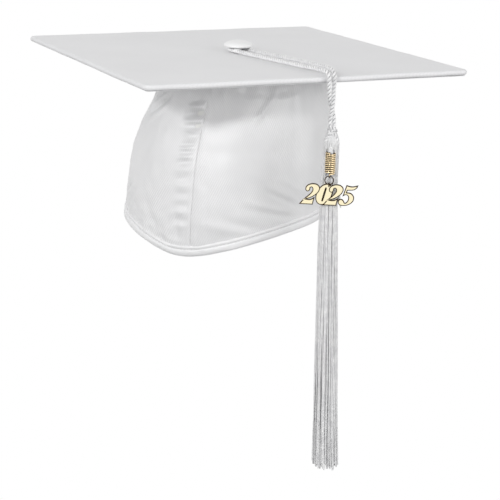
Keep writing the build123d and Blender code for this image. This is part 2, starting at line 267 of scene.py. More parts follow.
def flecked(name, roughness, dark, light, scale, detail, **sockets):
    """A finish of two tones in fine flecks: its material, tree, shader and flecks."""
    material, tree, shader = finish(name, roughness, **sockets)
    flecks = grain(tree, node(tree, "ShaderNodeTexCoord").outputs["Object"], scale, detail)
    paint(tree, shader, two_toned(tree, flecks, dark, light))
    return material, tree, shader, flecks


# The card core is only seen where the cloth is lifted: grey board with a fibrous face.
board_card, tree, shader, fuzz = flecked(
    "board_card", 0.85, (0.42, 0.38, 0.32), (0.62, 0.58, 0.50), 900.0, 4.0)
rough_face = node(tree, "ShaderNodeBump", {
    "Height": fuzz, "Strength": 0.2, "Distance": 0.0002})
tree.links.new(rough_face.outputs["Normal"], shader.inputs["Normal"])


def dress(name, material):
    """Gives a CAD node its finish."""
    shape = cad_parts[name]
    shape.data.materials.clear()
    shape.data.materials.append(material)


dress("board_core", board_card)


# ---- Button --------------------------------------------------------------------------------
# A self-cover button over the middle of the board: satin drawn over a pressed metal dome and
# gathered under its edge. Its back plate carries the post that is riveted through the board
# against a washer.
button_radius = 10.5 * mm
button_high = 124.6 * mm
button_rim = 120.9 * mm
tuck_radius = 7.0 * mm
button_satin = satin("button_satin", (0.92, 0.92, 0.92), (0.88, 0.88, 0.88), 0.45, "Object",
                     ribs=300.0, slope=0.9, bump=0.12)

bm = bmesh.new()
outline = []
for step in range(15):
    turn = math.pi / 2 * step / 14
    outline.append((button_radius * math.sin(turn),
                    button_rim + (button_high - button_rim) * math.cos(turn) ** 1.15))
outline += [(10.45 * mm, 120.4 * mm), (10.1 * mm, 119.95 * mm), (9.4 * mm, 119.65 * mm),
            (8.3 * mm, 119.6 * mm), (tuck_radius, 119.7 * mm), (tuck_radius, 120.2 * mm)]
rim_verts = [bm.verts.new((x, 0, z)) for x, z in outline]
rim_edges = [bm.edges.new(pair) for pair in zip(rim_verts, rim_verts[1:])]
bmesh.ops.spin(bm, geom=rim_verts + rim_edges, axis=(0, 0, 1), cent=(0, 0, 0), dvec=(0, 0, 0),
               angle=2 * math.pi, steps=96, use_merge=True, use_duplicate=False)
bmesh.ops.remove_doubles(bm, verts=bm.verts[:], dist=0.01 * mm)
bmesh.ops.recalc_face_normals(bm, faces=bm.faces[:])
for v in bm.verts:
    around = math.atan2(v.co.y, v.co.x)
    out = math.hypot(v.co.x, v.co.y) / button_radius
    gather = math.sin(24 * around + 2 * math.sin(3 * around))
    low = max(0.0, min(1.0, (121.2 * mm - v.co.z) / (1.2 * mm)))
    v.co.z += 0.10 * mm * gather * low * out
    v.co.xy *= 1 + 0.012 * gather * low
    v.co.z += 0.12 * mm * noise.noise(v.co * 160) * (1 - low)
button_cloth = piece("button_cloth", bm, button_satin)
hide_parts("button_cover")
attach(button_cloth, "root")

# The end of the gathering thread and a fold of the cover show under the button's front edge.
bm = bmesh.new()
bmesh.ops.create_uvsphere(bm, u_segments=20, v_segments=12, radius=1)
for v in bm.verts:
    x, y, z = v.co
    fold = 1 + 0.16 * math.sin(9 * x) + 0.1 * math.sin(7 * z + 3 * x)
    v.co = Vector((x * 3.1, y * 1.3 * fold, z * 1.35 - 0.25 * x * x)) * mm
    v.co = Matrix.Rotation(math.radians(14), 3, "Z") @ v.co
    v.co += Vector((2.2, -9.4, 117.9)) * mm
button_fold = piece("button_fold", bm, button_satin)
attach(button_fold, "root")

button_metal, tree, shader, dulled = flecked(
    "button_metal", 0.32, (0.52, 0.52, 0.53), (0.72, 0.72, 0.73), 500.0, 3.0, Metallic=1.0)
tree.links.new(ranged(tree, dulled, 0.0, 1.0, 0.25, 0.45), shader.inputs["Roughness"])
for name in ("button_shell", "button_post", "button_washer"):
    dress(name, button_metal)


# ---- Skullcap ------------------------------------------------------------------------------
# The soft skullcap is cut as two satin panels, the wearer's left and right halves, sewn down
# the middle of the front and the back. Its top is sewn to the board; easing the right panel
# onto the seam has left small puckers down one side of it.
crown_middle = Vector((-2.0, -4.0, 0.0)) * mm
crown_wall = 1.1 * mm
crown_top = 111.7
crown_datum = 116  # the two tables give the radius at depths under this level: depth, radius
per_degree = 1.32  # mm round the cap
front_bulge = 4.5  # of the lower front, ahead of the tables' curve
rim_draw = 3.0  # how far the binding draws the cloth in at the rim
front_draw = 6.4  # and how much further at the front
# how far each kind of crease moves the cloth, in mm
seam_groove = 0.35
seam_ridge = 0.25
back_groove = 0.9
rim_gathers = 1.7
back_gathers = 1.1
board_gathers = 0.8
slack = 0.6
lean_side = [(4, 48.0), (18, 51.8), (33, 57.0), (44, 62.2), (54, 67.1), (66, 71.4), (80, 74.2),
             (98, 76.2), (112, 77.6), (128, 80.2)]
full_side = [(4, 56.0), (12, 66.0), (22, 71.0), (34, 73.0), (54, 74.2), (66, 74.6), (80, 75.0),
             (98, 75.4), (112, 76.2), (128, 77.5)]
# how far the rim sags below the curve it was cut to: angle, mm
rim_sag = [(-105, 0.0), (-80, 1.7), (-62, 2.7), (-45, 3.2), (-28, 4.1), (-14, 5.2), (-5, 4.6),
           (5, 3.3), (14, 2.5), (24, 2.6), (40, 2.9), (55, 2.5), (72, 1.9), (90, 0.9), (105, 0.0)]
# where the front seam runs, as it leans over the cap: level, angle
seam_run = [(-20, -1.0), (10, -0.5), (45, 0.1), (60, 0.8), (74, 2.0), (84, 3.1), (112, 5.2)]
# each fold of the cloth: from (angle, level) to (angle, level), half width, height
folds = [
    ((-33, 86.5), (-56, 71), 1.5, -1.7), ((-36, 90), (-58, 76), 2.2, 1.3),
    ((-31, 82.5), (-52, 66), 2.4, 1.2), ((-41, 91), (-62, 78), 1.6, -1.2),
    ((-50, 92), (-62, 60), 4.5, 1.0), ((-60, 84), (-72, 50), 4.5, -1.0),
    ((47, 97), (35, 79.5), 2.6, 1.8), ((31, 100), (18, 84), 7.0, -1.2),
    ((22, 96.5), (45, 96), 1.8, -0.3), ((20, 93.0), (42, 92.5), 2.0, 0.3),
    ((45, 96), (62, 98.5), 1.8, -0.5), ((48, 92), (62, 94), 2.0, 0.4),
    ((41.5, 28), (64, 13.5), 1.6, -0.7), ((43, 31.5), (66, 17), 2.3, 0.8),
    ((29, 17), (57, 9), 2.6, -0.6), ((31, 21.5), (52, 13.5), 2.2, 0.7),
    ((17, 9.5), (36, 2.5), 3.2, -0.8), ((8, 5), (28, 0), 3.4, 0.8),
    ((58, 24), (74, 8), 2.0, -0.8), ((50, 36), (70, 24), 3.0, 0.7),
    ((-48, 25), (-65, 9), 1.3, -0.9), ((-45, 22.5), (-61, 6.5), 1.3, 0.7),
    ((-43, 19), (-56, 3), 1.3, -0.8), ((-40, 17), (-50, 2), 1.6, 0.7),
    ((-30, 16), (-22, -4), 4.5, -0.9), ((-16, 8), (-14, -8), 3.4, 0.9),
    ((-9, 12), (-8, -8), 2.6, -0.7), ((5, 26), (4, -10), 3.4, 1.0),
    ((84, 96), (98, 50), 5.0, 1.6), ((110, 100), (118, 60), 5.0, -1.5),
    ((140, 102), (136, 50), 6.0, 1.6), ((-100, 98), (-94, 54), 5.0, 1.5),
    ((-124, 100), (-120, 52), 6.0, -1.4), ((-148, 102), (-150, 56), 6.0, 1.6),
    ((160, 100), (164, 60), 5.0, -1.4),
]
# the puckers beside the front seam: level, middle from the seam, half length, half width, height
puckers = [
    (85.6, 8.5, 7.5, 2.3, 3.2), (80.4, 9.0, 7.5, 2.1, -3.4), (76.0, 8.5, 7.0, 1.9, 2.6),
    (72.0, 7.0, 6.5, 1.8, -3.4), (66.0, 6.5, 6.0, 3.0, 1.6), (59.8, 8.6, 5.5, 1.3, -1.6),
    (57.2, 9.2, 5.0, 1.3, 1.4), (54.4, 9.0, 4.5, 1.4, -1.5), (51.4, 8.6, 4.5, 1.6, 1.4),
    (47.6, 8.6, 5.0, 1.8, -1.4), (42.4, 8.2, 5.5, 2.4, 0.8), (36.6, 8.8, 5.5, 2.0, -0.7),
    (31.0, 8.4, 5.0, 2.2, 0.6), (25.8, 8.0, 5.0, 1.8, -0.6), (21.8, 8.0, 4.5, 1.6, 0.4),
    (17.6, 8.0, 5.5, 1.9, -0.6), (12.4, 9.0, 7.0, 2.4, 1.0), (7.0, 8.0, 6.0, 2.0, -0.7),
    (2.4, 8.0, 7.0, 2.0, 0.8),
]


def between(table, x):
    """A smooth curve through a table of (place, value), level beyond its ends."""
    if x <= table[0][0]:
        return table[0][1]
    for i in range(len(table) - 1):
        (x0, y0), (x1, y1) = table[i], table[i + 1]
        if x <= x1:
            before = table[max(i - 1, 0)]
            after = table[min(i + 2, len(table) - 1)]
            slope0 = (y1 - before[1]) / (x1 - before[0])
            slope1 = (after[1] - y0) / (after[0] - x0)
            t = (x - x0) / (x1 - x0)
            h = x1 - x0
            return (y0 * (1 + 2 * t) * (1 - t) ** 2 + slope0 * h * t * (1 - t) ** 2
                    + y1 * t * t * (3 - 2 * t) - slope1 * h * t * t * (1 - t))
    return table[-1][1]


def held(x):
    """A number held between 0 and 1."""
    return min(max(x, 0), 1)


def rim_level(angle):
    """Height of the rim in mm: it dips over the forehead and rides higher at the left ear."""
    degrees = math.degrees(angle)
    cut = 3.0 * math.sin(angle) - 15.3 * math.exp(-(degrees / 38) ** 2)
    return cut - between(rim_sag, degrees)


def gathers(around):
    """The uneven gathers of the elasticated back, from -1 to 1."""
    return math.sin(around * 0.82 + 2.2 * math.sin(around * 0.11))


def fullness(angle):
    """1 on the cap's full side, 0 on the side where it leans."""
    return 0.5 + 0.5 * math.sin(angle - math.radians(19))


def relief(angle, level):
    """How far the folds and puckers lift the cloth, in mm."""
    degrees = math.degrees(angle)
    around = per_degree * degrees
    lift = 0.0
    for (a0, z0), (a1, z1), width, height in folds:
        start = Vector((per_degree * a0, z0))
        run = Vector((per_degree * a1, z1)) - start
        here = Vector((around, level)) - start
        t = here.dot(run) / run.length_squared
        if -0.2 < t < 1.2:
            away = abs(here.x * run.y - here.y * run.x) / run.length
            fade = math.sin(math.pi * held((t + 0.2) / 1.4)) ** 0.8
            lift += height * fade * math.exp(-(away / width) ** 2)
    around -= per_degree * between(seam_run, level) * max(0.0, 1 - abs(degrees) / 60)
    if -22 < around < 0:
        eased = min(1.0, -around / 2.5)
        for z0, middle, length, width, height in puckers:
            off = level - z0 - 0.15 * (around + middle)
            along = math.exp(-((around + middle) / length) ** 2)
            lift += height * eased * along * math.exp(-(off / width) ** 2)
    lift -= seam_groove * math.exp(-(around / 0.9) ** 2) * held((90 - level) / 10)
    lift += seam_ridge * math.exp(-((around - 3.0) / 2.0) ** 2)
    back = abs(abs(degrees) - 180) * per_degree
    lift -= back_groove * math.exp(-(back / 1.3) ** 2)
    above = max(level - rim_level(angle) - 10, 0)
    if -70 < degrees < 0:
        drawn = min(1.0, -degrees / 8, (70 + degrees) / 15) * math.exp(-above / 9)
        lift += rim_gathers * drawn * noise.noise(Vector((around / 7.5, level / 6, 3)))
    gathered = math.exp(-above / 26)
    gathered *= held((abs(degrees) - 100) / 18)
    lift += back_gathers * gathered * gathers(around)
    near_board = math.exp(-max(crown_top - level, 0) / 13)
    lift += board_gathers * near_board * math.sin(around * 0.46 + 1.7 * math.sin(around * 0.08))
    spot = Vector((math.sin(angle) * 3.2, math.cos(angle) * 3.2, level / 26))
    return lift + slack * noise.noise(spot) + slack / 2 * noise.noise(spot * 2.6)


def crown_point(angle, level, outset=0.0, plain=False):
    """A point of the skullcap's outer face: angle from the front, level and outset in mm."""
    depth = crown_datum - level
    full = fullness(angle)
    radius = between(lean_side, depth) * (1 - full) + between(full_side, depth) * full
    radius += front_bulge * max(math.cos(angle), 0) * held((depth - 60) / 50)
    drawn = held((125 - abs(math.degrees(angle))) / 30)
    drawn *= rim_draw + front_draw * math.exp(-((math.degrees(angle) - 5) / 42) ** 2)
    radius -= drawn * math.exp(-max(level - rim_level(angle), 0) / 24)
    if not plain:
        radius += relief(angle, level) * min(1, (crown_top - level) / 4 + 0.15)
    radius += outset
    return crown_middle + Vector((math.sin(angle) * radius, -math.cos(angle) * radius, level)) * mm


def surface(columns, rows, place, size=(1.0, 1.0), closed=False, even=(1.0, 1.0)):
    """A grid laid on a surface: place(u, v) gives each point, and size its UV map in metres."""
    bm = bmesh.new()
    layer = bm.loops.layers.uv.new("cloth")
    bmesh.ops.create_grid(bm, x_segments=columns, y_segments=rows, size=0.5)
    flat = {v: (v.co.x + 0.5, v.co.y + 0.5) for v in bm.verts}
    for face in bm.faces:
        for loop in face.loops:
            u, v = flat[loop.vert]
            loop[layer].uv = (u ** even[0] * size[0], (1 - (1 - v) ** even[1]) * size[1])
    for vert, (u, v) in flat.items():
        vert.co = place(u, v)
    if closed:
        bmesh.ops.remove_doubles(bm, verts=bm.verts[:], dist=0.004 * mm)
    bmesh.ops.recalc_face_normals(bm, faces=bm.faces[:])
    return bm


def face_out(bm):
    """Turns an open crown surface so that its faces look away from the head."""
    face = max(bm.faces, key=lambda f: (f.calc_center_median() - crown_middle).xy.length)
    outward = face.calc_center_median() - crown_middle
    if face.normal.xy.dot(outward.xy) < 0:
        bmesh.ops.reverse_faces(bm, faces=bm.faces[:])
    return bm


crown_satin = satin("crown_satin", (0.86, 0.86, 0.865), (0.62, 0.62, 0.63), 0.44, "UV",
                    ribs=200.0, slope=0.49, bump=0.6, gloss=1.0, coat=0.5)
panel_height = 122 * mm
panel_girth = 246 * mm
rim_hidden = 3.5
for side, name, node_name in ((1, "crown_cloth_left", "crown_left_panel"),
                              (-1, "crown_cloth_right", "crown_right_panel")):
    def panel_place(u, v, side=side):
        angle = side * math.radians(0.02 + 179.96 * u ** 1.2)
        low = rim_level(angle) + rim_hidden
        level = low + (crown_top - low) * (1 - (1 - v) ** 1.25)
        angle += math.radians(between(seam_run, level)) * max(0.0, 1 - 2.2 * u) ** 2
        return crown_point(angle, level)
    bm = face_out(surface(200, 110, panel_place, (panel_girth * side, panel_height),
                          even=(1.2, 1.25)))
    panel = piece(name, bm, crown_satin)
    modify(panel, "SOLIDIFY", thickness=crown_wall, offset=-1)
    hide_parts(node_name)
    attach(panel, "root")

# Thread shows as small slanting stitches in the groove of the front and the back seam.
thread_white = flecked(
    "sewing_thread", 0.6, (0.62, 0.62, 0.62), (0.86, 0.86, 0.86), 2500.0, 2.0, Sheen_Weight=0.2)[0]


def lay_spline(curve, kind, points, thickness=1):
    """Lays a line of points in a curve; a NURBS line is smooth and reaches both its ends."""
    spline = curve.splines.new(kind)
    spline.points.add(len(points) - 1)
    for point, co in zip(spline.points, points):
        point.co = (*co, 1)
        point.radius = thickness
    if kind == "NURBS":
        spline.order_u = 3
        spline.use_endpoint_u = True


def meshed(name, curve):
    """The mesh that a curve makes; the curve itself is removed."""
    maker = bpy.data.objects.new(name, curve)
    mesh = bpy.data.meshes.new_from_object(maker)
    bpy.data.objects.remove(maker)
    bpy.data.curves.remove(curve)
    return mesh


def strands(name, lines, radius, material, sides=1, kind="POLY", resolution=4, widths=None):
    """Many threads made as one mesh, each one a line of points."""
    curve = bpy.data.curves.new(name, "CURVE")
    curve.dimensions = "3D"
    curve.bevel_depth = radius
    curve.bevel_resolution = sides
    curve.resolution_u = resolution
    curve.use_fill_caps = True
    for number, line in enumerate(lines):
        lay_spline(curve, kind, line, widths[number] if widths else 1)
    mesh = meshed(name + "_curve", curve)
    mesh.name = name
    mesh.polygons.foreach_set("use_smooth", [True] * len(mesh.polygons))
    mesh.materials.clear()
    mesh.materials.append(material)
    made = bpy.data.objects.new(name, mesh)
    bpy.context.scene.collection.objects.link(made)
    return made


stitch_half = 0.011  # radians to either side of the seam
stitch_pitch = 2.6
stitches = []
for front in (True, False):
    level = 86.0 if front else 102.0
    while level > (-6 if front else 16):
        turn = math.radians(between(seam_run, level)) if front else math.pi
        a = crown_point(turn - stitch_half, level, -0.15)
        b = crown_point(turn, level - 0.5, 0.05)
        c = crown_point(turn + stitch_half, level - 1.0, -0.15)
        stitches.append([a, b, c])
        level -= stitch_pitch
seam_stitches = strands("seam_stitches", stitches, 0.16 * mm, thread_white)
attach(seam_stitches, "root")


# ---- Rim -----------------------------------------------------------------------------------
# From ear to ear round the front the raw edge is rolled into a bias binding, with a fine cord
# edge above it and a line of stitching between. Round the back the binding widens into a
# gathered tunnel with a flat elastic inside.
hem_end = math.radians(108)
hem_satin = satin("hem_satin", (0.90, 0.90, 0.905), (0.85, 0.85, 0.86), 0.42, "UV",
                  ribs=300.0, slope=0.8, bump=0.2)
# the binding's section: (outset, height above the rim) in mm, outside first
hem_section = [(-1.9, 1.2), (-1.4, 0.3), (-0.4, 0.0), (0.6, 0.5), (1.2, 1.6), (1.35, 3.0),
               (1.15, 4.4), (0.7, 5.2), (0.05, 5.6), (0.1, 5.9), (0.75, 6.3), (1.0, 7.1),
               (0.8, 7.9), (0.2, 8.4), (-0.6, 8.4), (-1.5, 7.4), (-2.0, 5.0), (-1.9, 1.2)]
casing_section = [(-1.9, 1.0), (-1.2, 0.2), (-0.2, 0.0), (0.7, 0.6), (1.1, 1.8), (0.5, 2.8),
                  (0.9, 4.0), (1.3, 6.5), (1.1, 9.0), (0.4, 10.4), (0.8, 11.3), (0.7, 12.4),
                  (0.1, 13.0), (-1.2, 12.9), (-1.9, 11.0), (-2.1, 6.5), (-1.9, 1.0)]


def section_point(section, v):
    """A point of a closed section, v from 0 to 1 along its points."""
    place = v * (len(section) - 1)
    i = min(int(place), len(section) - 2)
    t = place - i
    (x0, z0), (x1, z1) = section[i], section[i + 1]
    return x0 + (x1 - x0) * t, z0 + (z1 - z0) * t


def hem_place(u, v):
    angle = -hem_end + 2 * hem_end * u
    out, rise = section_point(hem_section, v)
    ripple = 0.16 * noise.noise(Vector((angle * 14, rise * 0.4, 0)))
    return crown_point(angle, rim_level(angle) + rise, out + ripple, plain=True)


def casing_place(u, v):
    angle = hem_end + (2 * math.pi - 2 * hem_end) * u
    angle = angle - 2 * math.pi if angle > math.pi else angle
    out, rise = section_point(casing_section, v)
    fade = min(1.0, 12 * min(u, 1 - u))
    gather = gathers(per_degree * math.degrees(angle))
    deep = 0.55 + 0.45 * math.cos((rise - 6.5) / 6.5 * math.pi / 2)
    out += back_gathers * gather * fade * deep
    return crown_point(angle, rim_level(angle) + rise, out, plain=True)


hem_binding = piece("hem_binding", surface(260, 51, hem_place, (0.31, 0.022), True), hem_satin)
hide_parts("rim_hem")
rear_gather = piece("rear_gather", surface(300, 48, casing_place, (0.20, 0.03), True), hem_satin)
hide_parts("rear_casing")
for made in (hem_binding, rear_gather):
    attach(made, "root")

stitches = []
angle = -hem_end
while angle < hem_end:
    stitches.append([crown_point(angle + turn, rim_level(angle + turn) + 5.75, out, plain=True)
                     for turn, out in ((0.003, 0.0), (0.014, 0.25), (0.025, 0.0))])
    angle += 0.034
hem_stitches = strands("hem_stitches", stitches, 0.17 * mm, thread_white)
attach(hem_stitches, "root")

elastic_webbing, tree, shader = finish("elastic_webbing", 0.75)
ribbing = node(tree, "ShaderNodeTexWave", {"Scale": 220.0, "Distortion": 0.5,
    "Vector": node(tree, "ShaderNodeTexCoord").outputs["Object"]}, bands_direction="Z")
paint(tree, shader, two_toned(tree, ribbing.outputs["Fac"], (0.62, 0.62, 0.60),
                              (0.82, 0.82, 0.80)))
dress("rear_elastic", elastic_webbing)


# ---- Lining --------------------------------------------------------------------------------
# Inside, a cotton sweatband is sewn behind the front binding, tapes cover the two seams, and a
# round of cotton takes the panels' gathered tops under the board.
lining_cotton = satin("lining_cotton", (0.82, 0.82, 0.80), (0.76, 0.76, 0.74), 0.8, "UV",
                      ribs=420.0, slope=0.785, bump=0.3)
patch_hole = 7.2  # radius left open round the button's washer


def band_place(u, v):
    angle = math.radians(-106 + 212 * u)
    level = rim_level(angle) + 8.0 + 27 * v
    inset = -2.3 + 0.3 * math.sin(math.pi * v) + 0.25 * noise.noise(Vector((angle * 9, v, 2)))
    return crown_point(angle, level, inset - 0.5)


def tape_place(u, v, turn, low):
    angle = turn + (u - 0.5) * 9 / 74
    level = low + (109.0 - low) * v
    return crown_point(angle, level, -1.9 + 0.3 * math.cos(6 * (u - 0.5)), plain=True)


def patch_place(u, v):
    angle = 2 * math.pi * u - math.pi
    reach = 45.5 + 9 * fullness(angle)
    radius = (patch_hole + (reach - patch_hole) * v) * mm
    ripple = 0.25 * math.sin(40 * angle) * v ** 3
    return Vector((0, 0, (111.2 + 0.2 * ripple) * mm)) + (
        crown_middle * v + Vector((math.sin(angle), -math.cos(angle), 0)) * radius)


linings = [
    ("sweatband_cloth", "sweatband", surface(150, 16, band_place, (0.29, 0.028)), 0.8),
    ("front_tape_cloth", "front_seam_tape",
     surface(8, 70, lambda u, v: tape_place(u, v, 0.0, 20.0), (0.009, 0.09)), 0.4),
    ("back_tape_cloth", "back_seam_tape",
     surface(8, 80, lambda u, v: tape_place(u, v, math.pi, 13.5), (0.009, 0.1)), 0.4),
    ("crown_patch_cloth", "crown_patch", surface(160, 14, patch_place, (0.3, 0.05), True), 0.7),
]
for name, node_name, bm, thick in linings:
    made = piece(name, bm, lining_cotton)
    modify(made, "SOLIDIFY", thickness=thick * mm, offset=0)
    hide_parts(node_name)
    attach(made, "root")


# ---- Tassel cord ---------------------------------------------------------------------------
# One length of limp two-ply rayon cord, doubled: it loops round the button's post, both legs
# run across the board and bend down over its edge, cross once as they hang, and end in the
# tassel's knot.
cord_width = 2.9 * mm
cord_lay = 5.3 * mm
ply_offset = 0.27  # of each ply from the cord's line, and its radius, as shares of the width
ply_radius = 0.28
hang_x, hang_y = 96.544, -81.586
tassel_place = Matrix.Rotation(math.radians(-40.2), 4, "Z")
# the line of the doubled cord, in mm: out from the button, across, up; the near leg comes first
near_leg = [(125.9, 0.9, 80.6), (127.0, 1.1, 85.5), (125.5, 1.5, 90.0), (124.0, 0.8, 95.0),
            (123.7, -0.5, 98.6), (124.4, -1.9, 104.0), (124.7, -2.6, 110.0), (124.9, -2.8, 119.5),
            (112.0, -3.4, 120.3), (97.0, -4.6, 119.6), (60.0, -4.9, 118.7), (24.0, -5.2, 117.9),
            (3.0, -5.6, 117.75)]
far_leg = [(126.9, -0.9, 80.6), (125.5, -1.1, 85.5), (126.0, -1.4, 90.0), (126.6, -0.8, 95.0),
           (126.4, 0.0, 98.6), (125.4, 0.8, 104.0), (124.6, 1.4, 110.0), (124.3, 1.6, 120.1),
           (112.0, 3.3, 121.2), (90.0, 3.9, 120.5), (60.0, 4.5, 119.7), (30.0, 5.2, 118.6),
           (3.0, 5.6, 117.9)]
route = near_leg + [(-5.6, -5.6, 117.75), (-5.6, 5.6, 117.75)] + far_leg[::-1]


def smooth_line(points, resolution):
    """Points along the smooth NURBS line that has these control points."""
    curve = bpy.data.curves.new("route", "CURVE")
    curve.dimensions = "3D"
    curve.resolution_u = resolution
    lay_spline(curve, "NURBS", points)
    mesh = meshed("route", curve)
    line = [v.co.copy() for v in mesh.vertices]
    bpy.data.meshes.remove(mesh)
    return line


def plies(line, width, lay, per_turn=12, count=2):
    """The plies of a laid cord: lines that turn about the cord's own line."""
    marks = [0.0]
    for a, b in zip(line, line[1:]):
        marks.append(marks[-1] + (b - a).length)
    steps = int(marks[-1] / lay * per_turn)
    made = [[] for _ in range(count)]
    across = None
    seat = 0
    for step in range(steps + 1):
        run = marks[-1] * step / steps
        while seat < len(line) - 2 and marks[seat + 1] < run:
            seat += 1
        ahead = (line[seat + 1] - line[seat]).normalized()
        here = line[seat] + ahead * (run - marks[seat])
        if across is None:
            across = ahead.orthogonal().normalized()
        across = (across - ahead * across.dot(ahead)).normalized()
        other = ahead.cross(across)
        for ply in range(count):
            turn = 2 * math.pi * (run / lay + ply / count)
            made[ply].append(here + (across * math.cos(turn) + other * math.sin(turn))
                             * width * ply_offset)
    return made


# Rayon yarn: bright fibres that run along each ply, read from the tube's own UV map.
fibres, fibres_in, fibres_out = new_group(
    "rayon_fibres",
    [("Vector", "NodeSocketVector"), ("Along", "NodeSocketFloat"), ("Across", "NodeSocketFloat")],
    [("Height", "NodeSocketFloat")],
)
stretch = node(fibres, "ShaderNodeCombineXYZ", {
    "X": fibres_in.outputs["Along"], "Y": fibres_in.outputs["Across"], "Z": 1.0})
laid = vectors(fibres, "MULTIPLY", fibres_in.outputs["Vector"], stretch.outputs["Vector"])
streaks = grain(fibres, laid, 1.0, 3.0, Roughness=0.6)
fibres.links.new(streaks, fibres_out.inputs["Height"])


def mark_groove_shade(made, lines):
    """Stores on each vertex how far it lies from the cord's own line, for the shade painted in the
    grooves between its plies.
    """
    points = [point for line in lines for point in line]
    tree = kdtree.KDTree(len(points))
    for number, point in enumerate(points):
        tree.insert(point, number)
    tree.balance()
    layer = made.data.attributes.new("groove", "FLOAT", "POINT")
    layer.data.foreach_set("value", [tree.find(v.co)[2] for v in made.data.vertices])


def yarn(name, light, shade, roughness, along, across, sheen=0.35, gloss=0.4, groove_shade_width=None):
    """Rayon yarn with fine streaks along its length; on a laid cord, shade is painted dark in the
    grooves between the plies.
    """
    material, tree, shader = finish(
        name, roughness, Sheen_Weight=sheen, Sheen_Roughness=0.45, Specular_IOR_Level=gloss)
    place = node(tree, "ShaderNodeTexCoord")
    streaky = node(tree, "ShaderNodeGroup", node_tree=fibres)
    tree.links.new(place.outputs["UV"], streaky.inputs["Vector"])
    streaky.inputs["Along"].default_value = along
    streaky.inputs["Across"].default_value = across
    patch = grain(tree, place.outputs["Object"], 240.0)
    both = maths(tree, "ADD", streaky.outputs["Height"], patch)
    painted = blended(tree, ranged(tree, both, 0.75, 1.25), shade, light)
    if groove_shade_width:
        # Painted shade: near the cord's own line, in the grooves between the plies, the yarn is
        # painted grey.
        depth = node(tree, "ShaderNodeAttribute", attribute_name="groove")
        unshaded = ranged(tree, depth.outputs["Fac"], 0.2 * groove_shade_width, 0.44 * groove_shade_width)
        painted = blended(tree, unshaded, (0.46, 0.46, 0.47), painted)
    paint(tree, shader, painted, streaky.outputs["Height"])
    return material


cord_rayon = yarn("cord_rayon", (0.95, 0.95, 0.95), (0.76, 0.76, 0.77), 0.3, 60.0, 9.0, gloss=0.8,
                  groove_shade_width=cord_width)
cord_line = [tassel_place @ (Vector(p) * mm) for p in smooth_line(route, 24)]
tassel_cord = strands("tassel_cord", plies(cord_line, cord_width, cord_lay),
                      cord_width * ply_radius, cord_rayon, sides=2)
mark_groove_shade(tassel_cord, [cord_line])
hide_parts("tassel_loop", "top_cord_left", "top_cord_right", "drop_cord_left",
            "drop_cord_right")
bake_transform(tassel_cord)


# ---- Tassel knot ---------------------------------------------------------------------------
# The two legs are tied in an overhand knot just above the tassel: the cord goes once and a half
# round both legs, and its two tails spread down into the head.
hang = Vector((hang_x, hang_y, 0)) * mm
charm_facing = math.radians(-76.0)
charm_out = Vector((math.cos(charm_facing), math.sin(charm_facing), 0))
charm_across = Vector((-charm_out.y, charm_out.x, 0))
knot_width = 2.7 * mm
# in mm from the hanging axis: across, out, up
knot_turns = [
    [(-0.6, 0.3, 85.6), (-1.7, 1.3, 84.6), (-0.6, 2.6, 83.3), (1.6, 2.2, 82.0),
     (3.0, 0.3, 80.9), (1.6, -2.0, 80.6), (-1.4, -2.1, 81.2), (-2.6, 0.0, 81.4),
     (-1.3, 2.4, 80.7), (0.8, 3.2, 79.4), (2.9, 2.7, 77.3), (3.9, 2.3, 74.6), (4.0, 1.9, 71.5)],
    [(1.0, -0.4, 84.6), (1.9, 1.0, 83.0), (0.9, 2.1, 81.2), (-0.8, 3.0, 79.0),
     (-2.3, 3.3, 76.6), (-3.4, 2.7, 73.8), (-3.6, 2.2, 71.0)],
]
knot_lines = []
knot_runs = []
for turns in knot_turns:
    knot_line = [hang + (charm_across * x + charm_out * y + Vector((0, 0, z))) * mm
                 for x, y, z in smooth_line(turns, 10)]
    knot_runs.append(knot_line)
    knot_lines += plies(knot_line, knot_width, cord_lay)
knot_wrap = strands("knot_wrap", knot_lines, knot_width * ply_radius, cord_rayon, sides=2)
mark_groove_shade(knot_wrap, knot_runs)
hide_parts("tassel_knot")
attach(knot_wrap, "tassel")


# ---- Tassel head ---------------------------------------------------------------------------
# The head is the bundle of rayon yarns folded over the knot and drawn down to the neck. In
# front, its yarns part round the wire coil, which is wound on a lock of them.
head_top = 81.4
neck_low = 34.5
neck_high = 40.5
skirt_low = -160.5
coil_out = 6.25
coil_high = 67.9
coil_low = 52.69
coil_radius = 3.45
parting = 2.5  # how far above and below the coil the head's yarns start to part
yarn_white = yarn("tassel_rayon", (0.88, 0.88, 0.88), (0.70, 0.70, 0.71), 0.45, 90.0, 5.0)
rng = random.Random(11)


def head_radius(around, level):
    """Radius of the head in mm at an angle from the charm's side, parted round the coil."""
    dome = max(0.0, min(1.0, (head_top - level) / 9))
    radius = 0.8 + 4.3 * (1 - (1 - dome) ** 1.7) ** 0.75
    radius -= 0.7 * max(0.0, min(1.0, (46 - level) / 8))
    if coil_low - parting < level < coil_high + parting and math.cos(around) > 0:
        reach = coil_radius + 0.2
        side = coil_out * math.sin(around)
        if abs(side) < reach:
            seat = coil_out * math.cos(around) - math.sqrt(reach ** 2 - side ** 2)
            ease = min(1.0, (level - coil_low + parting) / parting,
                       (coil_high + parting - level) / parting)
            radius = min(radius, radius + (seat - radius) * ease)
    return radius


def tassel_point(around, radius, level, lean=0.0):
    """A point beside the hanging axis, its angle measured from the charm's side."""
    out = charm_out * math.cos(around) + charm_across * math.sin(around)
    return hang + (out * radius + charm_across * lean + Vector((0, 0, level))) * mm


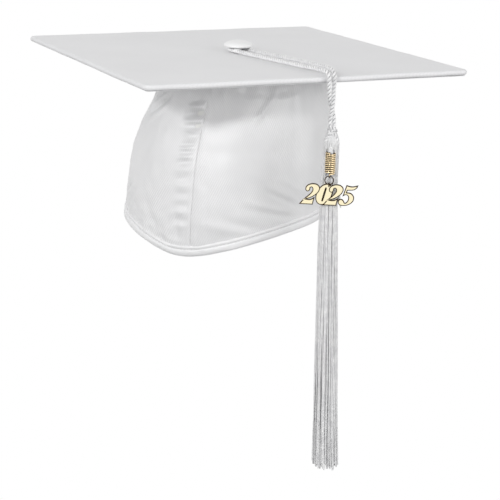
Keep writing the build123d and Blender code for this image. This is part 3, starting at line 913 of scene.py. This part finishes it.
lines = []
head_levels = [81.0, 80.2, 79.0, 77.2, 75.2, 73.0, 70.5, 67.5, 64.0, 60.0, 56.5, 53.0, 50.0,
               47.0, 44.0, 41.0, 38.5, 35.5]
for layer, (count, inset) in enumerate(((46, 0.0), (34, 0.9), (22, 1.9))):
    for number in range(count):
        start = 2 * math.pi * (number + 0.5 * (layer % 2)) / count
        twist = rng.uniform(-0.16, 0.16)
        out = rng.uniform(-0.18, 0.18)
        line = []
        for level in head_levels:
            turn = start + twist * (head_top - level) / 40
            turn += 0.05 * math.sin(level * 0.35 + number)
            radius = max(0.5, head_radius(turn, level) - inset + out)
            line.append(tassel_point(turn, radius, level))
        lines.append(line)
head_yarns = strands("head_yarns", lines, 0.47 * mm, yarn_white, kind="NURBS", resolution=3)
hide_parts("tassel_head")
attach(head_yarns, "tassel")

# The lock that the coil is wound on: a few yarns that leave the head above the coil and go
# back into it below. Each point is how far out it lies, its level and the lock's spread there.
lock_spread = 1.35
lock_points = [(3.2, 71.0, 0.5), (4.7, 69.6, 0.7), (coil_out - 0.2, 68.0, 0.95),
               (coil_out, 63.0, 1.0), (coil_out, 58.0, 1.0), (coil_out, 54.0, 1.0),
               (5.4, 52.4, 0.8), (3.8, 50.4, 0.5)]
lines = []
for number in range(9):
    turn = 2 * math.pi * number / 8
    off = lock_spread if number < 8 else 0.0
    side = off * math.sin(turn)
    fore = off * math.cos(turn)
    lines.append([hang + (charm_out * (x + fore * k) + charm_across * side * k
                          + Vector((0, 0, z))) * mm for x, z, k in lock_points])
coil_lock = strands("coil_lock", lines, 0.62 * mm, yarn_white, kind="NURBS", resolution=4)
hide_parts("yarn_lock")
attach(coil_lock, "tassel")

# The neck is bound with nine turns of sewing thread, laid side by side.
turns = 9
neck_radius = 5.35
wind = []
for step in range(turns * 20 + 1):
    turn = 2 * math.pi * step / 20
    level = neck_high - 0.3 - (neck_high - neck_low - 0.6) * step / (turns * 20)
    wind.append(tassel_point(turn, neck_radius + 0.06 * math.sin(turn * 1.7), level))
neck_thread = strands("neck_thread", [wind], 0.36 * mm, thread_white, sides=2)
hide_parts("neck_binding")
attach(neck_thread, "tassel")


# ---- Tassel skirt --------------------------------------------------------------------------
# Below the neck some two hundred rayon yarns hang free. They spread a little towards their
# ends, lean together to one side, and are trimmed by hand, so the ends are uneven.
skirt_lean = 5.6
lines = []
widths = []
for layer, (count, inset) in enumerate(((58, 0.0), (50, 0.95), (42, 1.9), (30, 3.0), (14, 4.4))):
    for number in range(count):
        start = 2 * math.pi * (number + 0.5 * (layer % 2) + rng.uniform(-0.35, 0.35)) / count
        drift = rng.uniform(-0.14, 0.14)
        loose = rng.uniform(-0.35, 0.45)
        sway = rng.uniform(0, 2 * math.pi)
        low = skirt_low + rng.uniform(0.0, 5.5) + (2.5 if rng.random() < 0.2 else 0.0)
        line = []
        for step in range(12):
            t = step / 11
            level = neck_low + 1.5 + (low - neck_low - 1.5) * t
            spread = 5.1 + 0.9 * min(1, t * 9) + 2.4 * t ** 1.3
            radius = max(0.4, (spread - inset) * (1 + 0.06 * loose) + loose * t
                         + 0.25 * math.sin(7 * t + sway))
            turn = start + drift * t + 0.05 * math.sin(9 * t + sway)
            line.append(tassel_point(turn, radius, level, skirt_lean * t ** 1.2))
        lines.append(line)
        widths.append(rng.uniform(0.85, 1.2))
skirt_yarns = strands("skirt_yarns", lines, 0.46 * mm, yarn_white, kind="NURBS", resolution=3,
                      widths=widths)
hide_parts("tassel_skirt")
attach(skirt_yarns, "tassel")


# ---- Coil and ring -------------------------------------------------------------------------
# Gilt brass wire, wound close into a coil whose last turn carries a closed hook. A round wire
# ring hangs in the hook. Shade is painted dark in the grooves between the turns, most on one
# side of the coil, where a dark reflection is painted as well.
coil_turns = 11
coil_mean = 2.925
coil_wire = 1.05
hook_level = 52.065
hook_radius = 1.15
gilt_light = (0.93, 0.74, 0.46)
gilt_dark = (0.035, 0.018, 0.006)


def gilt(name, groove, roughness=0.28, light=gilt_light):
    """Gilt metal, worn in flecks and painted darker where groove(tree, place) gives a high mask,
    which on the coil and the charm is painted shade.
    """
    material, tree, shader = finish(name, roughness, Metallic=1.0)
    place = node(tree, "ShaderNodeTexCoord")
    worn = grain(tree, place.outputs["Object"], 1400.0, 3.0)
    mask = maths(tree, "MULTIPLY_ADD", worn, 0.35, groove(tree, place))
    paint(tree, shader, blended(tree, ranged(tree, mask, 0.45, 0.85), light, gilt_dark),
          worn, 0.25, 0.0001)
    return material


coil_axis = hang + charm_out * coil_out * mm
# Painted reflection: the coil's wire is painted darker on the side that faces this way.
dark_reflection_facing = math.radians(-100)
dark_reflection_side = (math.cos(dark_reflection_facing), math.sin(dark_reflection_facing), 0)


def coil_painted_shade(tree, place):
    """High in the grooves between the turns as painted shade, most on one side as a painted dark
    reflection, and high on the wire below the coil's lowest turn.
    """
    near = vectors(tree, "SUBTRACT", place.outputs["Object"], coil_axis)
    level = vectors(tree, "MULTIPLY", near, (1, 1, 0))
    out = vectors(tree, "LENGTH", level, gives="Value")
    deep = ranged(tree, out, coil_radius * mm, 3.3 * mm)
    reflection_facing = vectors(tree, "DOT_PRODUCT", vectors(tree, "NORMALIZE", level), dark_reflection_side,
                    gives="Value")
    painted_reflection = ranged(tree, reflection_facing, 0.6, 0.9, 0.3)
    both = maths(tree, "ADD", maths(tree, "MULTIPLY", deep, painted_reflection), 0.27)
    part = node(tree, "ShaderNodeSeparateXYZ", {"Vector": place.outputs["Object"]})
    below = ranged(tree, part.outputs["Z"], (coil_low + 0.2) * mm, (coil_low - 0.6) * mm, 0.0, 0.5)
    return maths(tree, "ADD", both, below)


gilt_wire = gilt("gilt_wire", coil_painted_shade, 0.25)
helix = []
pitch = (coil_high - coil_low - coil_wire) / coil_turns
for step in range(coil_turns * 24 + 1):
    turn = 2 * math.pi * step / 24
    level = coil_low + coil_wire / 2 + pitch * step / 24
    helix.append(coil_axis + (charm_out * math.cos(turn) + charm_across * math.sin(turn))
                 * coil_mean * mm + Vector((0, 0, level)) * mm)
hook_out = 9.175
hook = []
for step in range(25):
    turn = math.radians(20 + 350 * step / 24)
    hook.append(hang + (charm_out * (hook_out + hook_radius * math.sin(turn))
                        + Vector((0, 0, hook_level + hook_radius * math.cos(turn)))) * mm)
coil_winding = strands("coil_winding", [helix, hook], coil_wire * 0.56 * mm, gilt_wire,
                       sides=3, widths=[1.0, 0.6])
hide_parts("charm_coil")
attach(coil_winding, "tassel")


def ring_groove(tree, place):
    """A thin ring wears bright only in spots."""
    return maths(tree, "ADD", grain(tree, place.outputs["Object"], 300.0), 0.4)


gilt_ring = gilt("gilt_ring", ring_groove, 0.3)
dress("jump_ring", gilt_ring)


# ---- Year charm ----------------------------------------------------------------------------
# A flat casting of four slanted, overlapping numerals, gilt: pale polished faces inside dark
# outlines, which are painted shade on the bevelled edges. An eye at its top hangs in the ring.
charm_middle = hang + charm_out * hook_out * mm
charm_base = 32.165
charm_tall = 14.4 / 14  # its height over that of the outlines below
eye_level = 46.015
eye_radius = 1.25
charm_frame = Matrix((
    (charm_across.x, 0, charm_out.x, charm_middle.x),
    (charm_across.y, 0, charm_out.y, charm_middle.y),
    (0, charm_tall, 0, charm_base * mm),
    (0, 0, 0, 1),
))
# each numeral's outline in mm, x from the charm's middle and y from its foot; a corner is sharp
two = [("c", -19.4, 0.0), (-16.9, 2.9), (-13.9, 5.7), (-11.6, 8.0), (-10.7, 9.9),
       (-11.2, 11.3), (-12.2, 11.2), (-12.5, 9.9), (-13.3, 8.8), (-14.7, 8.8), (-15.5, 10.2),
       (-14.7, 12.3), (-12.6, 13.6), (-10.0, 14.0), (-7.3, 13.2), (-6.0, 11.2), (-6.6, 8.8),
       (-8.8, 6.4), (-12.0, 4.5), ("c", -14.7, 3.5), (-12.0, 3.5), ("c", -9.3, 5.0),
       ("c", -10.4, 0.0)]
two_shift = 15.7
five = [("c", 11.7, 13.7), (15.3, 13.0), ("c", 19.4, 13.9), ("c", 18.6, 12.0), (16.8, 10.8),
        (14.2, 10.4), ("c", 12.4, 10.3), ("c", 12.0, 8.9), (14.6, 8.6), (16.4, 7.0),
        (16.9, 4.9), (15.9, 2.6), (13.2, 0.7), (9.8, 0.0), (7.3, 0.6), (6.4, 2.3), (7.3, 4.1),
        (9.2, 4.2), (10.3, 3.0), (10.9, 2.0), (12.5, 3.0), (13.2, 5.2), (12.5, 7.0),
        (11.2, 7.2), ("c", 9.4, 6.3)]
zero_middle = (-3.0, 7.0)
zero_half = (5.3, 7.0)
zero_slant = 0.26
zero_counter = (0.16, 4.2)
numeral_step = 0.25  # how far each numeral stands forward or back of the one beside it
numeral_core = 0.05
numeral_bevel = 0.64
numeral_grow = 0.12  # how far the casting's edge lies outside its outline
numeral_flat = 0.72  # the depth kept when the casting is flattened


def numeral(outline, lift, holes=()):
    """The mesh of one cast numeral, with a slanting edge all round its face."""
    curve = bpy.data.curves.new("numeral", "CURVE")
    curve.dimensions = "2D"
    curve.fill_mode = "BOTH"
    curve.extrude = numeral_core * mm
    curve.bevel_depth = numeral_bevel * mm
    curve.bevel_resolution = 0
    curve.offset = (numeral_grow - numeral_bevel) * mm
    curve.resolution_u = 5
    for ring in (outline, *holes):
        spline = curve.splines.new("BEZIER")
        spline.use_cyclic_u = True
        spline.bezier_points.add(len(ring) - 1)
        for point, entry in zip(spline.bezier_points, ring):
            sharp = entry[0] == "c"
            x, y = entry[1:] if sharp else entry
            point.co = (x * mm, y * mm, 0)
            kind = "VECTOR" if sharp else "AUTO"
            point.handle_left_type = point.handle_right_type = kind
    mesh = meshed("numeral", curve)
    mesh.transform(Matrix.Diagonal((1, 1, numeral_flat, 1)))
    mesh.transform(Matrix.Translation((0, 0, lift * mm)))
    return mesh


def zero_ring(wide, high, count=16):
    """A slanted oval about the middle of the numeral 0."""
    ring = []
    for step in range(count):
        turn = 2 * math.pi * step / count
        up = high * math.sin(turn)
        ring.append((zero_middle[0] + wide * math.cos(turn) + zero_slant * up,
                     zero_middle[1] + up))
    return ring


def shifted(ring, x):
    """An outline moved sideways."""
    return [(*entry[:-2], entry[-2] + x, entry[-1]) for entry in ring]


def charm_edge_shade(tree, place):
    """Low on the faces at the charm's front and back, high on its edges, where shade is painted.
    """
    facing = vectors(tree, "DOT_PRODUCT", place.outputs["Normal"], charm_out, gives="Value")
    edge = ranged(tree, maths(tree, "ABSOLUTE", facing), 0.97, 0.86)
    return maths(tree, "ADD", edge, 0.2)


gilt_casting = gilt("gilt_casting", charm_edge_shade, 0.34, (0.95, 0.86, 0.60))
bm = bmesh.new()
for mesh in (
    numeral(two, numeral_step),
    numeral(zero_ring(*zero_half), -numeral_step, [zero_ring(*zero_counter)]),
    numeral(shifted(two, two_shift), numeral_step),
    numeral(five, -numeral_step),
):
    bm.from_mesh(mesh)
    bpy.data.meshes.remove(mesh)
bmesh.ops.remove_doubles(bm, verts=bm.verts[:], dist=0.002 * mm)
year_numerals = piece("year_numerals", bm, gilt_casting, smooth=False)
year_numerals.data.transform(charm_frame)
eye = []
for step in range(25):
    turn = 2 * math.pi * step / 24
    level = eye_level + eye_radius * math.cos(turn)
    eye.append(charm_middle + (charm_out * eye_radius * math.sin(turn)
                               + Vector((0, 0, level))) * mm)
charm_eye = strands("charm_eye", [eye], 0.4 * mm, gilt_ring, sides=2)
for made in (year_numerals, charm_eye):
    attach(made, "charm")
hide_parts("year_charm")


# ---- Studio --------------------------------------------------------------------------------
# A plain floor well below the tassel, clear from underneath, and a pale surround. One small
# lamp stands in front of the cap, and two large soft ones light it from its sides.
camera_at = Vector((0.353, -0.9904, 0.264))
yaw, pitch_down, roll = (math.radians(v) for v in (18.91, 15.82, 1.72))
back = Vector((math.sin(yaw) * math.cos(pitch_down), -math.cos(yaw) * math.cos(pitch_down),
               math.sin(pitch_down)))
right = (-back).cross(Vector((0, 0, 1))).normalized()
up = right.cross(-back)
level_right = right * math.cos(roll) + up * math.sin(roll)
level_up = up * math.cos(roll) - right * math.sin(roll)
camera = bpy.data.objects.new("camera", bpy.data.cameras.new("camera"))
camera.data.sensor_width = 36
camera.data.lens = 103.9
floor_level = -0.45
floor_half = 6
lamp_aim = Vector((0, 0, 0.05))
camera.data.clip_start = 0.05
turned = Matrix((level_right, level_up, back)).transposed().to_4x4()
camera.matrix_world = Matrix.Translation(camera_at) @ turned
bpy.context.scene.collection.objects.link(camera)
bpy.context.scene.camera = camera


def sight(tree, *kinds):
    """1 for rays of these kinds, 0 for all others."""
    path = node(tree, "ShaderNodeLightPath")
    seen = path.outputs[kinds[0]]
    for kind in kinds[1:]:
        seen = maths(tree, "MAXIMUM", seen, path.outputs[kind])
    return seen


world = bpy.data.worlds.new("surround")
bpy.context.scene.world = world
world.use_nodes = True
tree = world.node_tree
tree.nodes.clear()
sky = node(tree, "ShaderNodeSeparateXYZ", {
    "Vector": node(tree, "ShaderNodeTexCoord").outputs["Generated"]})
glow = ranged(tree, sky.outputs["Z"], 0.1, 0.6, 0.84, 0.52)
ambient = node(tree, "ShaderNodeBackground", {"Color": (1, 1, 1, 1), "Strength": glow})
clear = node(tree, "ShaderNodeBackground", {"Color": (1, 1, 1, 1), "Strength": 1.0})
both = node(tree, "ShaderNodeMixShader", {
    0: sight(tree, "Is Camera Ray", "Is Glossy Ray"), 1: ambient.outputs["Background"],
    2: clear.outputs["Background"]})
node(tree, "ShaderNodeOutputWorld", {"Surface": both.outputs["Shader"]})

# The floor lights the cap as pale grey paint would, but from above it looks plain white and
# shows no shadow.
bm = bmesh.new()
bmesh.ops.create_grid(bm, x_segments=2, y_segments=2, size=floor_half)
bmesh.ops.translate(bm, verts=bm.verts[:], vec=(0, 0, floor_level))
floor_paint = bpy.data.materials.new("floor_paint")
floor_paint.use_nodes = True
tree = floor_paint.node_tree
tree.nodes.clear()
matte = node(tree, "ShaderNodeBsdfDiffuse", {"Color": (0.34, 0.34, 0.34, 1)})
white = node(tree, "ShaderNodeEmission", {"Color": (1, 1, 1, 1), "Strength": 1.0})
from_above = node(tree, "ShaderNodeMixShader", {
    0: sight(tree, "Is Camera Ray", "Is Glossy Ray", "Is Transmission Ray"),
    1: matte.outputs["BSDF"], 2: white.outputs["Emission"]})
clear_below = node(tree, "ShaderNodeMixShader", {
    0: node(tree, "ShaderNodeNewGeometry").outputs["Backfacing"],
    1: from_above.outputs["Shader"],
    2: node(tree, "ShaderNodeBsdfTransparent").outputs["BSDF"]})
node(tree, "ShaderNodeOutputMaterial", {"Surface": clear_below.outputs["Shader"]})
floor = piece("floor", bm, floor_paint, smooth=False)


def lamp(name, place, size, watts):
    """A square soft lamp that looks at the cap."""
    light = bpy.data.lights.new(name, "AREA")
    light.shape = "SQUARE"
    light.size = size
    light.energy = watts
    made = bpy.data.objects.new(name, light)
    bpy.context.scene.collection.objects.link(made)
    turn = (lamp_aim - Vector(place)).to_track_quat("-Z", "Y").to_matrix().to_4x4()
    made.matrix_world = Matrix.Translation(place) @ turn


lamp("key_lamp", (-0.126, -1.96, 0.84), 0.15, 11.2)
lamp("fill_lamp", (1.45, -0.8, 0.25), 1.0, 7.8)
lamp("side_lamp", (-1.5, -1.1, 0.6), 0.7, 5.0)

bpy.context.scene.view_settings.view_transform = "Standard"
